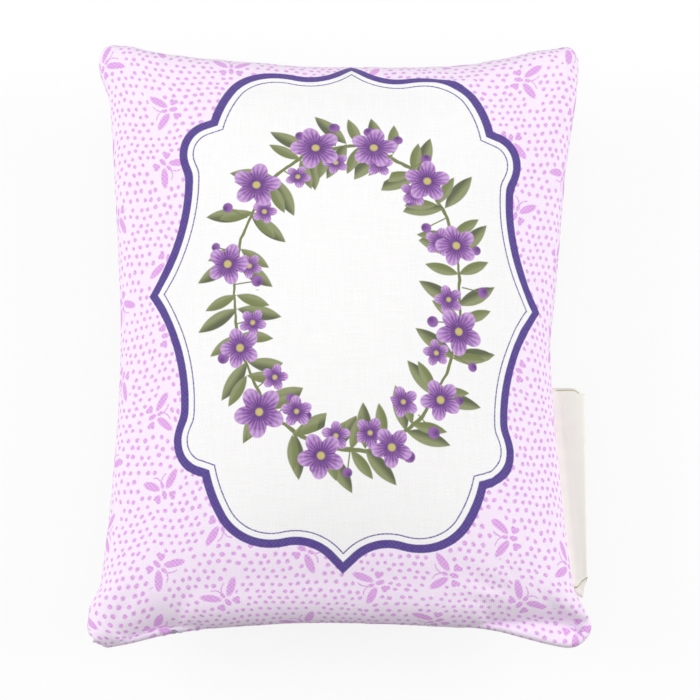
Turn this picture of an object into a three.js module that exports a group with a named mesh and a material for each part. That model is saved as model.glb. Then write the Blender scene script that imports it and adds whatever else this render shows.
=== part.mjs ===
// A small scented pillow, in millimetres, +Z up. It lies on its back panel with its printed front facing up.
// Two cotton panels are sewn round their edges, turned, filled and closed by hand. A folded tape tag is caught
// in the right-hand seam. Inside, two fibre pads hold a muslin pouch of dried lavender buds.

import * as THREE from "three";

// Cover, measured between the points where the seam lines would cross
const SEAM_WIDTH = 122.6;
const SEAM_LENGTH = 154;
const SEAM_CORNER_RADIUS = 4;
const SIDE_DRAW = 8.1; // how far each long side pulls in between its corners
const END_DRAW = 6; // the same for the top and the bottom
const DRAW_POWER = 1.8; // a higher power keeps the pull-in even and flares it at the corners
const FRONT_CROWN = 23.5; // rise of the front panel above its folded edge
const BACK_CROWN = 23.5; // fall of the back panel below its folded edge, before it flattens
const REST_FLATTENING = 2.5; // how much of the back crown the pillow's weight presses flat
const CROWN_ROUNDNESS = 2; // power of the crown's section
const CROWN_FULLNESS = 0.6; // a lower power fills the crown out towards its edges
const COTTON = 0.4; // thickness of the printed cotton
const SEAM_ALLOWANCE = 6; // width of each panel's turned-in edge
const SEAM_GAP = 0.3; // between the two turned-in edges

// Thread
const THREAD = 0.3; // sewing thread's diameter
const THREAD_CLEARANCE = 0.2;
const STITCH_INSET = 1.3; // from the seam's edge to the machine stitching
const CLOSING_START = -43.5; // along the bottom edge, where the hand sewing begins with a knot
const CLOSING_LENGTH = 52; // opening through which the pillow was turned and filled
const CLOSING_STITCH = 4; // pitch of the hand stitches
const CLOSING_BITE = 0.9; // how far each hand stitch reaches to either side of the seam
const CLOSING_THREAD = 0.4;
const KNOT = 1.3;

// Tag, a folded tape whose ends are caught in the right-hand seam
const TAG_TOP = -11; // height of the tag's ends on the seam
const TAG_BOTTOM = -61;
const TAG_TOP_REACH = 6.2; // from the hinge line to the tape's fold, at the tag's upper end
const TAG_BOTTOM_REACH = 2.3; // the same at its lower end
const TAPE = 0.25; // thickness of the tape
const TAG_LEAF_GAP = 0.3; // between the two leaves of the folded tape
const TAG_ROOT_DEPTH = 5; // how deep the tape's ends reach into the seam
const TAG_ROOT_FIT = 0.15; // from the tape's ends to each turned-in edge
const TAG_HINGE_GAP = 0.45; // from the hinge line to the exposed tape, so that it can turn through a right angle
const TAG_CLEARANCE = 0.4; // from the turned tag to the cover's edge
const TAG_FRONT_SLANT = 1.8; // how much the front leaf's lower end rises towards the fold
const TAG_BACK_DROP = 3; // how far the back leaf hangs below the front one
const TAG_HOLD = 1.8; // how far the stiff tape holds the seam in near its lower end
const TAG_HOLD_REACH = 15; // length of seam over which that fades
const TAG_HOLD_RISE = 3; // height of the strongest hold above the tag's lower end

// Filling
const FIT = 0.3; // between the filling and what holds it
const PAD_SPLIT = 0.3; // between the two fibre pads
const POUCH_WIDTH = 84;
const POUCH_LENGTH = 104;
const POUCH_CORNER_RADIUS = 3;
const POUCH_BORDER = 6; // flat sewn edge of the pouch
const POUCH_CROWN = 7; // rise of each side of the pouch
const POUCH_FULLNESS = 0.8;
const MUSLIN = 0.3; // thickness of the pouch's cloth
const BUD_EDGE = 0.6; // thickness of the heap of buds at its rim
const BUD_INSET = 2; // from the pouch's sewn edge to the heap of buds

// Mesh steps
const SIDE_STEPS = 10;
const END_STEPS = 7;
const CORNER_STEPS = 3;
const CROWN_SHARES = [0.14, 0.3, 0.46, 0.6, 0.73, 0.84, 0.92, 0.97, 1];
const LINING_SHARES = [0.2, 0.45, 0.68, 0.86, 0.96, 1];
const POUCH_SHARES = [0.4, 0.72, 0.93, 1];
const THREAD_SIDES = 5;
const TAG_STEPS = 4;
const FOLD_STEPS = 4;

// Sizes that follow from these
const POCKET = THREAD + 2 * THREAD_CLEARANCE; // room for the thread between the crown and the turned-in edge
const TAG_LIFT = TAPE + TAG_ROOT_FIT - SEAM_GAP / 2; // how much the tape opens the seam on each side
const TAG_LIFT_REACH = 13; // the seam stays open this far past the tag, and closes over the same length again
const EDGE_HEIGHT = SEAM_GAP / 2 + 2 * COTTON + POCKET; // half the thickness of the sewn edge
const SEAM_Z = EDGE_HEIGHT + BACK_CROWN - REST_FLATTENING;
const POUCH_EDGE = SEAM_GAP / 2 + MUSLIN; // height of the pouch's border above the seam plane
const HOLLOW_EDGE = POUCH_EDGE + THREAD + THREAD_CLEARANCE + FIT; // height of the pads' hollow over that border

// Points round a rounded rectangle, anticlockwise from the middle of the corner arcs: each is a place on the
// rectangle's core, as shares of its half-sizes, and the direction in which the corner radius leaves it.
function outlineSamples() {
  const samples = [];
  const corners = [[1, 1], [-1, 1], [-1, -1], [1, -1]];
  corners.forEach(([cx, cy], k) => {
    for (let i = 0; i < CORNER_STEPS; i++) {
      const angle = (k + i / CORNER_STEPS) * (Math.PI / 2);
      samples.push({ cx, cy, ux: Math.cos(angle), uy: Math.sin(angle) });
    }
    const [nextX, nextY] = corners[(k + 1) % corners.length];
    const steps = k % 2 === 0 ? END_STEPS : SIDE_STEPS;
    const out = (k + 1) * (Math.PI / 2);
    for (let i = 0; i < steps; i++) {
      const share = i / steps;
      samples.push({
        cx: THREE.MathUtils.lerp(cx, nextX, share),
        cy: THREE.MathUtils.lerp(cy, nextY, share),
        ux: Math.cos(out),
        uy: Math.sin(out),
      });
    }
  });
  return samples;
}

const SAMPLES = outlineSamples();

function roundedPoint(sample, halfX, halfY, radius) {
  return [sample.cx * (halfX - radius) + sample.ux * radius, sample.cy * (halfY - radius) + sample.uy * radius];
}

// A point of the cover laid flat, inset from its seam and then shrunk towards the middle
function flatPoint(sample, inset, share = 1) {
  const halfX = (SEAM_WIDTH / 2 - inset) * share;
  const halfY = (SEAM_LENGTH / 2 - inset) * share;
  return roundedPoint(sample, halfX, halfY, (SEAM_CORNER_RADIUS * halfX) / (SEAM_WIDTH / 2));
}

// The filled cover's sides pull in between its corners, and a little more where the tape holds the right-hand one.
function drawnIn(p, q) {
  const along = Math.abs((2 * q) / SEAM_LENGTH);
  const across = Math.abs((2 * p) / SEAM_WIDTH);
  const hold = TAG_HOLD * Math.exp(-(((q - TAG_BOTTOM - TAG_HOLD_RISE) / TAG_HOLD_REACH) ** 2));
  const sideDraw = SIDE_DRAW * (1 - along ** DRAW_POWER) + (p > 0 ? hold : 0);
  const endDraw = END_DRAW * (1 - across ** DRAW_POWER);
  return [p - Math.sign(p) * across * sideDraw, q - Math.sign(q) * along * endDraw];
}

// Height of the filled crown over a flat point, from 0 at the seam to 1 in the middle
function crown(p, q) {
  const across = 1 - Math.abs((2 * p) / SEAM_WIDTH) ** CROWN_ROUNDNESS;
  const along = 1 - Math.abs((2 * q) / SEAM_LENGTH) ** CROWN_ROUNDNESS;
  return (Math.max(across, 0) * Math.max(along, 0)) ** CROWN_FULLNESS;
}

// How far the tape opens the seam next to this point of the outline
function tagLift(sample) {
  const [p, q] = flatPoint(sample, 0);
  const past = Math.max(TAG_BOTTOM - q, q - TAG_TOP, 0);
  const away = Math.hypot(SEAM_WIDTH / 2 - p, past);
  return TAG_LIFT * THREE.MathUtils.clamp(2 - away / TAG_LIFT_REACH, 0, 1);
}

function ring(place) {
  return SAMPLES.map((sample) => new THREE.Vector3(...place(sample)));
}

// A ring of the cover's outline at a height above or below the seam plane
function coverRing(inset, height, share = 1) {
  return ring((sample) => [...drawnIn(...flatPoint(sample, inset, share)), SEAM_Z + height(sample)]);
}

function pouchRing(inset, height, share = 1) {
  const halfX = (POUCH_WIDTH / 2 - inset) * share;
  const halfY = (POUCH_LENGTH / 2 - inset) * share;
  const radius = (POUCH_CORNER_RADIUS * halfX) / (POUCH_WIDTH / 2);
  return ring((sample) => [...roundedPoint(sample, halfX, halfY, radius), SEAM_Z + height]);
}

// A closed surface through rings of equal length. A ring of one point is a pole.
function skin(rings, looped = false) {
  const position = [];
  const index = [];
  const starts = rings.map((points) => {
    const start = position.length / 3;
    points.forEach((point) => position.push(point.x, point.y, point.z));
    return start;
  });
  const bands = looped ? rings.length : rings.length - 1;
  for (let k = 0; k < bands; k++) {
    const next = (k + 1) % rings.length;
    const count = Math.max(rings[k].length, rings[next].length);
    const at = (which, i) => starts[which] + (rings[which].length === 1 ? 0 : i % count);
    for (let i = 0; i < count; i++) {
      if (rings[next].length > 1) index.push(at(k, i), at(next, i), at(next, i + 1));
      if (rings[k].length > 1) index.push(at(k, i), at(next, i + 1), at(k, i + 1));
    }
  }
  const geometry = new THREE.BufferGeometry();
  geometry.setAttribute("position", new THREE.Float32BufferAttribute(position, 3));
  geometry.setIndex(index);
  geometry.computeVertexNormals();
  return geometry;
}

// A solid that is mirrored in the seam plane is turned round, so that its faces still point out.
function mirrored(rings) {
  return rings
    .map((points) => points.map((point) => new THREE.Vector3(point.x, point.y, 2 * SEAM_Z - point.z)))
    .reverse();
}

function pole(height) {
  return [new THREE.Vector3(0, 0, SEAM_Z + height)];
}

// Outside and inside height of the cover's crown above the seam plane, where the lift of the tag fades inwards
function crownHeight(rise, sample, share) {
  const fade = share ** CROWN_SHARES.length;
  return EDGE_HEIGHT + tagLift(sample) * fade + rise * crown(...flatPoint(sample, 0, share));
}

// One panel of the cover, with its folded edge and its turned-in seam allowance. The deepest part of the back
// panel is pressed flat, which the limit on the height does.
function coverPanel(rise, limit) {
  const outside = (share) => (sample) => Math.min(crownHeight(rise, sample, share), limit);
  const inside = (share) => (sample) => outside(share)(sample) - COTTON;
  const under = (sample) => SEAM_GAP / 2 + tagLift(sample);
  const over = (sample) => under(sample) + COTTON;
  const top = Math.min(EDGE_HEIGHT + rise, limit);
  return [
    pole(top),
    ...CROWN_SHARES.map((share) => coverRing(0, outside(share), share)),
    coverRing(0, under),
    coverRing(SEAM_ALLOWANCE, under),
    coverRing(SEAM_ALLOWANCE, over),
    coverRing(COTTON, over),
    ...LINING_SHARES.toReversed().map((share) => coverRing(COTTON, inside(share), share)),
    pole(top - COTTON),
  ];
}

// A fibre pad fills one side of the cover down to the seam allowance, and has a hollow for the pouch.
function fibrePad(rise, limit) {
  const inset = STITCH_INSET + THREAD / 2 + FIT;
  const top = (share) => (sample) => Math.min(crownHeight(rise, sample, share), limit) - COTTON - FIT;
  const ledge = (sample) => SEAM_GAP / 2 + tagLift(sample) + COTTON + FIT;
  const split = () => PAD_SPLIT / 2;
  return [
    pole(Math.min(EDGE_HEIGHT + rise, limit) - COTTON - FIT),
    ...LINING_SHARES.map((share) => coverRing(inset, top(share), share)),
    coverRing(inset, ledge),
    coverRing(SEAM_ALLOWANCE + FIT, ledge),
    coverRing(SEAM_ALLOWANCE + FIT, split),
    pouchRing(-FIT, PAD_SPLIT / 2),
    pouchRing(-FIT, HOLLOW_EDGE),
    ...POUCH_SHARES.toReversed().map((share) => pouchRing(POUCH_BORDER, HOLLOW_EDGE + pouchRise(share), share)),
    pole(HOLLOW_EDGE + POUCH_CROWN),
  ];
}

function pouchRise(share) {
  return POUCH_CROWN * (1 - share * share) ** POUCH_FULLNESS;
}

// One cloth of the inner pouch, a dome with a flat sewn border
function pouchCloth() {
  return [
    pole(POUCH_EDGE + POUCH_CROWN),
    ...POUCH_SHARES.map((share) => pouchRing(POUCH_BORDER, POUCH_EDGE + pouchRise(share), share)),
    pouchRing(0, POUCH_EDGE),
    pouchRing(0, POUCH_EDGE - MUSLIN),
    ...POUCH_SHARES.toReversed().map((share) =>
      pouchRing(POUCH_BORDER, POUCH_EDGE - MUSLIN + pouchRise(share), share),
    ),
    pole(POUCH_EDGE - MUSLIN + POUCH_CROWN),
  ];
}

// The heap of dried buds, the same shape on both sides
function budHeap() {
  const middle = POUCH_EDGE - MUSLIN + POUCH_CROWN - FIT;
  const height = (share) => BUD_EDGE / 2 + ((middle - BUD_EDGE / 2) * pouchRise(share)) / POUCH_CROWN;
  const upper = [
    pole(middle),
    ...POUCH_SHARES.map((share) => pouchRing(POUCH_BORDER + BUD_INSET, height(share), share)),
  ];
  return [...upper, ...mirrored(upper)];
}

// A tube of round section along points, closed on itself or ended by flat caps, with its own radius at each point
function tube(points, radii, closed) {
  const count = points.length;
  const sections = points.map((point, k) => {
    const before = points[closed ? (k + count - 1) % count : Math.max(k - 1, 0)];
    const after = points[closed ? (k + 1) % count : Math.min(k + 1, count - 1)];
    const along = new THREE.Vector3().subVectors(after, before).normalize();
    const out = new THREE.Vector3(along.y, -along.x, 0).normalize();
    const up = new THREE.Vector3().crossVectors(out, along).normalize();
    return Array.from({ length: THREAD_SIDES }, (_, i) => {
      const angle = (2 * Math.PI * i) / THREAD_SIDES;
      return point
        .clone()
        .addScaledVector(out, radii[k] * Math.cos(angle))
        .addScaledVector(up, radii[k] * Math.sin(angle));
    });
  });
  if (closed) return skin(sections, true);
  return skin([[points[0]], ...sections, [points[count - 1]]]);
}

// Machine stitching on one turned-in edge, from one end of the hand-sewn opening round to the other
function seamThread(side) {
  const bottom = SAMPLES.filter((sample) => sample.uy < -0.99);
  const rest = SAMPLES.filter((sample) => !bottom.includes(sample));
  const first = rest.findIndex((sample) => sample.cy < 0 && sample.cx > 0);
  const round = [...rest.slice(first), ...rest.slice(0, first)];
  const core = SEAM_WIDTH / 2 - SEAM_CORNER_RADIUS;
  const onBottom = (x) => ({ cx: x / core, cy: -1, ux: 0, uy: -1 });
  const closingEnd = CLOSING_START + CLOSING_LENGTH;
  const isRight = (sample) => sample.cx * core > closingEnd + CLOSING_STITCH;
  const isLeft = (sample) => sample.cx * core < CLOSING_START - CLOSING_STITCH;
  const path = [
    onBottom(closingEnd),
    ...bottom.filter(isRight),
    ...round,
    ...bottom.filter(isLeft),
    onBottom(CLOSING_START),
  ];
  const height = (sample) => SEAM_GAP / 2 + tagLift(sample) + COTTON + THREAD_CLEARANCE + THREAD / 2;
  const points = path.map(
    (sample) =>
      new THREE.Vector3(...drawnIn(...flatPoint(sample, STITCH_INSET)), SEAM_Z + side * height(sample)),
  );
  return tube(points, points.map(() => THREAD / 2), false);
}

// Stitching round the pouch's border
function pouchThread(side) {
  const height = side * (POUCH_EDGE + THREAD_CLEARANCE + THREAD / 2);
  const points = pouchRing(POUCH_BORDER / 2, height);
  return tube(points, points.map(() => THREAD / 2), true);
}

// Hand stitches that cross the seam from one folded edge to the other, with a knot at their start
function closingThread() {
  const count = Math.floor(CLOSING_LENGTH / CLOSING_STITCH);
  const thick = CLOSING_THREAD / 2;
  const stitchPoint = (x, away, side) => {
    const [px, py] = drawnIn(x, -SEAM_LENGTH / 2);
    return new THREE.Vector3(px, py - away - THREAD_CLEARANCE, SEAM_Z + side * CLOSING_BITE);
  };
  const knotRadii = [0.5, 0.9, 1, 0.9].map((share) => (share * KNOT) / 2);
  const points = knotRadii.map((_, i) => stitchPoint(CLOSING_START + ((i - knotRadii.length) * KNOT) / 4, KNOT / 2, 0));
  const radii = [...knotRadii];
  for (let k = 0; k <= 2 * count; k++) {
    points.push(stitchPoint(CLOSING_START + (k * CLOSING_STITCH) / 2, thick, k % 2 === 0 ? -1 : 1));
    radii.push(thick);
  }
  return tube(points, radii, false);
}

// The seam's edge on the right-hand side at a height on the pillow
function seamX(y) {
  return drawnIn(SEAM_WIDTH / 2, y)[0];
}

// The straight line that the exposed tape turns about, just outside the seam, where turning takes no more room
const HINGE_OFFSET = TAPE + TAG_LEAF_GAP / 2 + TAG_CLEARANCE;

const TAG_LOWEST = TAG_BOTTOM - TAG_BACK_DROP;

function hingeX(y) {
  const share = (y - TAG_LOWEST) / (TAG_TOP - TAG_LOWEST);
  return THREE.MathUtils.lerp(seamX(TAG_LOWEST), seamX(TAG_TOP), share) + HINGE_OFFSET;
}

function tagHeights() {
  return Array.from({ length: TAG_STEPS + 1 }, (_, k) =>
    THREE.MathUtils.lerp(TAG_BOTTOM, TAG_TOP, k / TAG_STEPS),
  );
}

// The two ends of the tape, one on the other, between the turned-in edges of the seam
function tagRoot() {
  const sections = tagHeights().map((y) => {
    const inner = seamX(y) - TAG_ROOT_DEPTH;
    const outer = hingeX(y) - TAG_ROOT_FIT;
    return [
      new THREE.Vector3(inner, y, SEAM_Z - TAPE),
      new THREE.Vector3(outer, y, SEAM_Z - TAPE),
      new THREE.Vector3(outer, y, SEAM_Z + TAPE),
      new THREE.Vector3(inner, y, SEAM_Z + TAPE),
    ];
  });
  const middleOf = (section) => section[0].clone().add(section[2]).multiplyScalar(0.5);
  return skin([[middleOf(sections[0])], ...sections, [middleOf(sections.at(-1))]]);
}

// The exposed tape, folded into a flat loop. Its leaves meet at the seam. The lower end of the front leaf rises
// towards the fold, and the back leaf hangs lower.
function tagLoop() {
  const half = TAPE + TAG_LEAF_GAP / 2;
  const shoulder = TAG_HINGE_GAP + 2 * half;
  const folds = Array.from({ length: FOLD_STEPS + 1 }, (_, i) => (i / FOLD_STEPS - 0.5) * Math.PI);
  const profile = (reach, thickness, root) => [
    [TAG_HINGE_GAP + (half - thickness), -root],
    [shoulder, -thickness],
    ...folds.map((angle) => [reach - half + thickness * Math.cos(angle), thickness * Math.sin(angle)]),
    [shoulder, thickness],
    [TAG_HINGE_GAP + (half - thickness), root],
  ];
  const place = (y, lowerEnd) => {
    const reach = THREE.MathUtils.mapLinear(y, TAG_BOTTOM, TAG_TOP, TAG_BOTTOM_REACH, TAG_TOP_REACH);
    const section = (thickness, root) =>
      profile(reach, thickness, root).map(([x, z]) => {
        const front = (TAG_FRONT_SLANT * x) / reach;
        const back = -TAG_BACK_DROP * Math.min(1, (2 * (reach - x)) / reach);
        const shift = lowerEnd ? THREE.MathUtils.lerp(back, front, THREE.MathUtils.clamp(0.5 + z / half, 0, 1)) : 0;
        return new THREE.Vector3(hingeX(y) + x, y + shift, SEAM_Z + z);
      });
    return { outside: section(half, TAPE), inside: section(half - TAPE, TAPE / 4) };
  };
  const sections = tagHeights().map((y, k) => place(y, k === 0));
  return skin([...sections.map((s) => s.outside), ...sections.toReversed().map((s) => s.inside)], true);
}

function cloth(colour, roughness) {
  return new THREE.MeshStandardMaterial({ color: colour, roughness, metalness: 0 });
}

const lilacCotton = cloth(0xefdcf6, 0.9);
const lilacThread = cloth(0xe3cdee, 0.8);
const creamTape = cloth(0xf4f1e6, 0.75);
const whiteFibre = cloth(0xf4f2ee, 1);
const paleMuslin = cloth(0xe9e2d0, 0.95);
const driedBuds = cloth(0x6c5f86, 1);

const pillow = new THREE.Group();

function add(name, geometry, material) {
  const mesh = new THREE.Mesh(geometry, material);
  mesh.name = name;
  pillow.add(mesh);
}

add("front_panel", skin(coverPanel(FRONT_CROWN, Infinity)), lilacCotton);
add("back_panel", skin(mirrored(coverPanel(BACK_CROWN, SEAM_Z))), lilacCotton);
add("seam_needle_thread", seamThread(1), lilacThread);
add("seam_bobbin_thread", seamThread(-1), lilacThread);
add("closing_thread", closingThread(), lilacThread);
add("tag_loop", tagLoop(), creamTape);
add("tag_root", tagRoot(), creamTape);
add("front_fibre_pad", skin(fibrePad(FRONT_CROWN, Infinity)), whiteFibre);
add("back_fibre_pad", skin(mirrored(fibrePad(BACK_CROWN, SEAM_Z))), whiteFibre);
add("pouch_front_cloth", skin(pouchCloth()), paleMuslin);
add("pouch_back_cloth", skin(mirrored(pouchCloth())), paleMuslin);
add("pouch_needle_thread", pouchThread(1), lilacThread);
add("pouch_bobbin_thread", pouchThread(-1), lilacThread);
add("lavender_buds", skin(budHeap()), driedBuds);

export default pillow;
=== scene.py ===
"""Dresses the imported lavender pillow: printed cover, tag, stitches, filling and a plain studio."""

import functools
import math

import bmesh
import bpy
import numpy as np
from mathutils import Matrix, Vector
from mathutils.kdtree import KDTree


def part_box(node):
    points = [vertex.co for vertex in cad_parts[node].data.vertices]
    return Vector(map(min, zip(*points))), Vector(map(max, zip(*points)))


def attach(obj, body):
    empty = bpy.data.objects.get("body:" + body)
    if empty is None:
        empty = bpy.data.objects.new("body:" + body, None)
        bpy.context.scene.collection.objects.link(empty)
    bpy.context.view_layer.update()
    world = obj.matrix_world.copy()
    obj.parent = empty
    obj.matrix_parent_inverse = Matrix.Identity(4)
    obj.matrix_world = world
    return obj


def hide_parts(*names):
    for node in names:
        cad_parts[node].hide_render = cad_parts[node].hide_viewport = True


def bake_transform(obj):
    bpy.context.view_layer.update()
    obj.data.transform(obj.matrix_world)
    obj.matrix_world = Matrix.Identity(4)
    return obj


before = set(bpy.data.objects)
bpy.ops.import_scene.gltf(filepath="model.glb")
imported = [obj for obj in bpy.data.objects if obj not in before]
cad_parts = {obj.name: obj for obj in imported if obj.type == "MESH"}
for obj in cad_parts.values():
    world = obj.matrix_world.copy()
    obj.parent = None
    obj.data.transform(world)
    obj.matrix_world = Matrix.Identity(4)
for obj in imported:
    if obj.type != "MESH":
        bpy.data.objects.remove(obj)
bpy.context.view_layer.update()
scene = bpy.context.scene

MM = 0.001

# Sizes of the cover and the tag in millimetres: those of the solids and of the cloth that shows
SEAM_WIDTH = 122.6
SEAM_LENGTH = 154.0
SEAM_CORNER_RADIUS = 6.5
SEAM_Z = 22.65
CROWN_RISE = 25.15
CROWN_FULLNESS = 0.58
COTTON = 0.4
EDGE_HEIGHT = 1.65
SEAM_GAP = 0.04
THREAD = 0.3
STITCH_INSET = 1.3
STITCH_HEIGHT = 0.4  # of the needle thread above the seam, and of the bobbin thread below it
CLOSING_START = -43.5
CLOSING_LENGTH = 52.0
CLOSING_STITCH = 4.0
CLOSING_SLANT = 1.6
CLOSING_THREAD = 0.4
KNOT = 1.3
KNOT_ALONG = 3.4  # from the start of the closing stitches
TAG_TOP = -11.0
TAG_BOTTOM = -61.0
TAG_TOP_REACH = 6.2
TAG_BOTTOM_REACH = 2.3
TAG_ROOT_DEPTH = 5.0
TAG_FRONT_SLANT = 1.8
TAG_BACK_DROP = 3.0
TAG_LEAF_GAP = 0.3
TAG_TOP_DROP = 1.0  # how far the upper end hangs down
TAG_CORNER_DROP = 1.5  # how much further at its outer corner
TAG_CURL = 0.35
TAG_ROWS = 41
TAPE = 0.25
HINGE_TOP = (54.244, -11.0)
HINGE_BOTTOM = (58.273, -64.0)
HALF_X = SEAM_WIDTH / 2
HALF_Y = SEAM_LENGTH / 2

# How far the filling pulls the middle of each edge in
LEFT_DRAW = 7.2
RIGHT_DRAW = 9.2
TOP_DRAW = 6.6
BOTTOM_DRAW = 7.0
# How the pull ends along each half of an edge, as shares of the way to the corner: how much of it is lost
# evenly, the power of that loss, and where the corner's flare starts and ends
UPPER_LEFT = (0.7, 1.2, 0.8, 0.93)
LOWER_LEFT = (0.82, 1.8, 0.8, 0.88)
UPPER_RIGHT = (0.8, 0.8, 0.5, 1.1)
LOWER_RIGHT = (0.72, 1.55, 0.8, 0.92)
TOP_LEFT = (0.88, 1.45, 0.72, 0.94)
TOP_RIGHT = (0.05, 1.0, 0.42, 1.06)
BOTTOM_LEFT = (1.0, 2.2, 0.65, 1.15)
BOTTOM_RIGHT = (0.45, 1.3, 0.55, 1.0)

# Sewn edge that stays flat below the filling: its width, the shares of the edge between which it widens,
# and the share from which it narrows again towards the corner
RIGHT_LIP = (7.0, 0.45, 0.95, 1.0)
LEFT_LIP = (2.2, 0.45, 0.75, 0.7)
TOP_LIP = (0.5, 0.6, 1.0, 1.0)
SIDE_LIP = (0.5, 0.8, 1.0, 1.0)
LIP_END = 0.98  # where a lip that narrows has gone

# How the cover is simulated and finished
GRID = 2.0  # spacing of the simulated cloth
SIM_SCALE = 10.0  # the cloth solver works better on a larger model
SWELL_FRAMES = 10  # the filling swells in the flat cover over these frames
SIM_FRAMES = 30
FILLING_HOLD = 6.0  # how firmly the filling holds the cloth out
PAD_SPACING = 4.0  # a pad's point keeps below the lowest part of the cover within this distance
MOST_MOVE = 4.0  # no point of the cloth settles further than this from the filled form
FRONT_SEED = 3
BACK_SEED = 8
EDGE_ROUND = 0.9  # how far from the seam the folded edge reaches its full thickness
SLIDES = 6  # rounds in which the panel's points slide to even places
FILLING_UNEVEN = 0.35  # how far the filling rises and sinks
FILLING_WAVES = (28.0, 70.0, 10)  # its shortest and longest wave, and how many there are
EDGE_HOLD = 0.95  # hold of the filling on the sewn edge
HOLD_LOSS = 0.65  # how much less it is inside
HOLD_FADE = (4.0, 13.0)  # distances from the lip between which it lessens
PLAIN_FADE = (3.0, 16.0)  # distances from the seam between which an edge without a lip thins out
LIP_SEEN = (0.3, 1.5)  # widths between which a lip takes over from the plain edge
LIP_THICK = (0.8, 0.45)  # the least width, and the share of a lip, that keep the full thickness
LIP_CREASE = 0.3  # how far past the lip its thickness ends
CORNER_BLEND = 4.0  # half of the run at a corner over which one edge's lip turns into the next one's
PUCKER = 0.22  # depth of the puckers along the stitching
PUCKER_REACH = 3.5
PUCKER_START = (0.2, 2.0)  # distances from the seam between which they begin
PUCKER_WAVES = (6.0, 13.0, 9)
SIDE_PUCKER_SEED = 21
END_PUCKER_SEED = 22

# The print, in millimetres on the flat front panel
PRINT_CENTRE = (2.36, 6.55)
PRINT_TURN = -0.6  # degrees
PRINT_SKEW = 0.023  # how far it slopes down to the right on the cloth
THREAD_PITCH = 0.53
DOT_STEP = (2.15, 1.95)
DOT_STRAY = 0.34  # how far a dot strays from its place, as a share of the step
DOT_RADIUS = 0.51
SPRIG_STEP = (17.0, 19.0)
SPRIG_SIZE = 0.95
# One quarter of the scalloped frame, from its middle: arcs as centre and radius, and where they meet
FRAME_TOP_HOLLOW = (10.9, 70.9)  # centre alone: this arc touches the shoulder's
FRAME_TIP_SLOPE = 47.0  # degrees, of the straight run from the hollow to the tip
FRAME_SHOULDER = (17.0, 46.8, 14.7)
FRAME_FLANK_RADIUS = 40.0
FRAME_FLANK_START = 30.0  # degrees round the shoulder, where it runs into the flank
FRAME_EAR = (32.3, 35.1, 9.1)
FRAME_EAR_SLOPE = 22.0  # degrees, of the straight run from the ear to the notch
FRAME_SIDE_HOLLOW = (84.9, 28.4, 45.0)
FRAME_EASE = 2.0  # how far the side's hollow runs smoothly into the ear
FRAME_BAND = 2.05
FRAME_LINE = (3.5, 0.15)  # depth of the thin inner line, and half its width
WREATH = (27.0, 38.0)  # half width and half height


def smooth(low, high, x):
    """0 below low, 1 above high, and an even rise between them."""
    t = np.clip((x - low) / (high - low), 0.0, 1.0)
    return t * t * (3.0 - 2.0 * t)


# The filled form of the cover


def flat_grid():
    """One panel laid flat, as rows of points with rounded corners."""
    across = round(SEAM_WIDTH / GRID)
    up = round(SEAM_LENGTH / GRID)
    p, q = np.meshgrid(np.linspace(-HALF_X, HALF_X, across + 1), np.linspace(-HALF_Y, HALF_Y, up + 1))
    r = SEAM_CORNER_RADIUS
    a = np.clip((np.abs(p) - HALF_X + r) / r, 0.0, None)
    b = np.clip((np.abs(q) - HALF_Y + r) / r, 0.0, None)
    p = np.sign(p) * (np.minimum(np.abs(p), HALF_X - r) + r * a * np.sqrt(1.0 - b * b / 2.0))
    q = np.sign(q) * (np.minimum(np.abs(q), HALF_Y - r) + r * b * np.sqrt(1.0 - a * a / 2.0))
    return p, q


def pull(share, loss, power, flare_start, flare_end):
    """The part of an edge's pull that is left at a share of the way from its middle to its corner."""
    return (1.0 - loss * share**power) * (1.0 - smooth(flare_start, flare_end, share))


def drawn_in(p, q):
    """Where a flat point lies once the filling has pulled the sides in between the corners."""
    along = np.abs(q) / HALF_Y
    across = np.abs(p) / HALF_X
    left = LEFT_DRAW * np.where(q > 0, pull(along, *UPPER_LEFT), pull(along, *LOWER_LEFT))
    right = RIGHT_DRAW * np.where(q > 0, pull(along, *UPPER_RIGHT), pull(along, *LOWER_RIGHT))
    top = TOP_DRAW * np.where(p > 0, pull(across, *TOP_RIGHT), pull(across, *TOP_LEFT))
    bottom = BOTTOM_DRAW * np.where(p > 0, pull(across, *BOTTOM_RIGHT), pull(across, *BOTTOM_LEFT))
    side = np.where(p > 0, right, left)
    end = np.where(q > 0, top, bottom)
    return p - np.sign(p) * across * side, q - np.sign(q) * along * end


def seam_distance(p, q):
    """How far a flat point lies from the panel's seam."""
    r = SEAM_CORNER_RADIUS
    a = np.abs(p) - HALF_X + r
    b = np.abs(q) - HALF_Y + r
    outside = np.hypot(np.maximum(a, 0.0), np.maximum(b, 0.0)) + np.minimum(np.maximum(a, b), 0.0)
    return r - outside


def lips(p, q):
    """Width of the flat sewn edge at the side and at the end nearest to a flat point."""
    across = np.abs(p) / HALF_X
    along = np.abs(q) / HALF_Y
    bottom = np.where(p > 0, lip_width(across, *RIGHT_LIP), lip_width(across, *LEFT_LIP))
    return lip_width(along, *SIDE_LIP), np.where(q > 0, lip_width(across, *TOP_LIP), bottom)


def lip_width(share, width, start, end, narrows):
    left = 1.0 - smooth(narrows, LIP_END, share) if narrows < LIP_END else 1.0
    return width * smooth(start, end, share) * left


def crown(p, q):
    """Height of the filling, 0 on the seam and on its flat lips, and 1 in the middle."""
    across = np.abs(p) / HALF_X
    along = np.abs(q) / HALF_Y
    side_lip, end_lip = lips(p, q)
    a = np.clip(1.0 - (across / (1.0 - side_lip / HALF_X)) ** 2, 0.0, 1.0)
    b = np.clip(1.0 - (along / (1.0 - end_lip / HALF_Y)) ** 2, 0.0, 1.0)
    return (a * b / np.maximum(a + b - a * b, 1e-9)) ** CROWN_FULLNESS


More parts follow.
